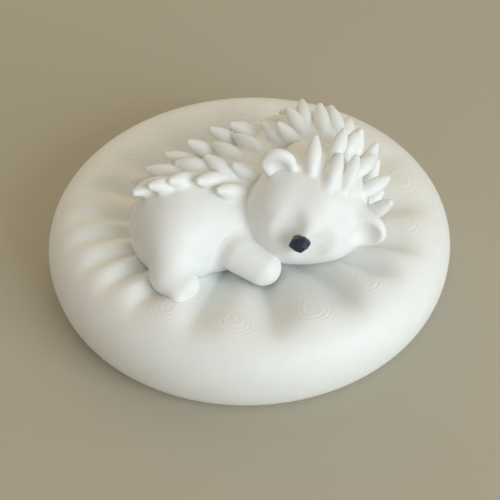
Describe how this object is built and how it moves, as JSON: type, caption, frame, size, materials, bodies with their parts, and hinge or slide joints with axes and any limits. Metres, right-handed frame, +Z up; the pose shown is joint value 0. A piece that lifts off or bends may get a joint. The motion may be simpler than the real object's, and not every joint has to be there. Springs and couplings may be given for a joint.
{
  "type": "hedgehog figurine",
  "caption": "Sleeping hedgehog ornament lying on its side on a round gathered cushion, printed in matte white plastic, with a blunt quill coat and a small dark faceted nose.",
  "frame": {"origin": "middle of the cushion's flat base, on the surface that it stands on", "axes": "+Z up, -Y towards the belly and the face, +X towards the head end, +Y towards the quilled back"},
  "size_m": [0.08, 0.08, 0.0383],
  "materials": {
    "white_print": "matte white PLA, printed in fine layers",
    "dark_nose": "navy black, faceted, half gloss"
  },
  "bodies": {
    "root": {"cushion": "white_print", "body": "white_print", "head": "white_print", "nose": "dark_nose", "right_ear": "white_print", "left_ear": "white_print", "hind_leg": "white_print", "foreleg": "white_print", "back_quills": "white_print", "crown_quills": "white_print"}
  },
  "joints": []
}
